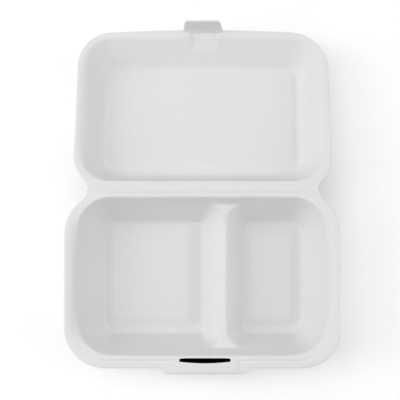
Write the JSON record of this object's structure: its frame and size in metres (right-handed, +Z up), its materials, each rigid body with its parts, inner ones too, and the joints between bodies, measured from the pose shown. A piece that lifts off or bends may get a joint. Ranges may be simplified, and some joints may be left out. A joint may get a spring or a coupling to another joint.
{
  "type": "food container",
  "caption": "Open foam clamshell food box: a deep tray with a divider and a shallow hinged lid that closes with a tongue in a slit",
  "frame": {"origin": "on the underside of the tray, at the middle of the tray's rim length and width", "axes": "+X along the hinge, +Y from the tray to the open lid, +Z up out of the tray"},
  "size_m": [0.24, 0.3115, 0.044],
  "materials": {
    "foam": "satin"
  },
  "bodies": {
    "tray": {"tray": "foam"},
    "lid": {"lid": "foam"}
  },
  "joints": [
    {"name": "lid_hinge", "type": "hinge", "parent": "tray", "child": "lid", "pos_m": [0, 0.07885, 0.04415], "axis": [1, 0, 0], "range_deg": [0, 187.8]}
  ]
}
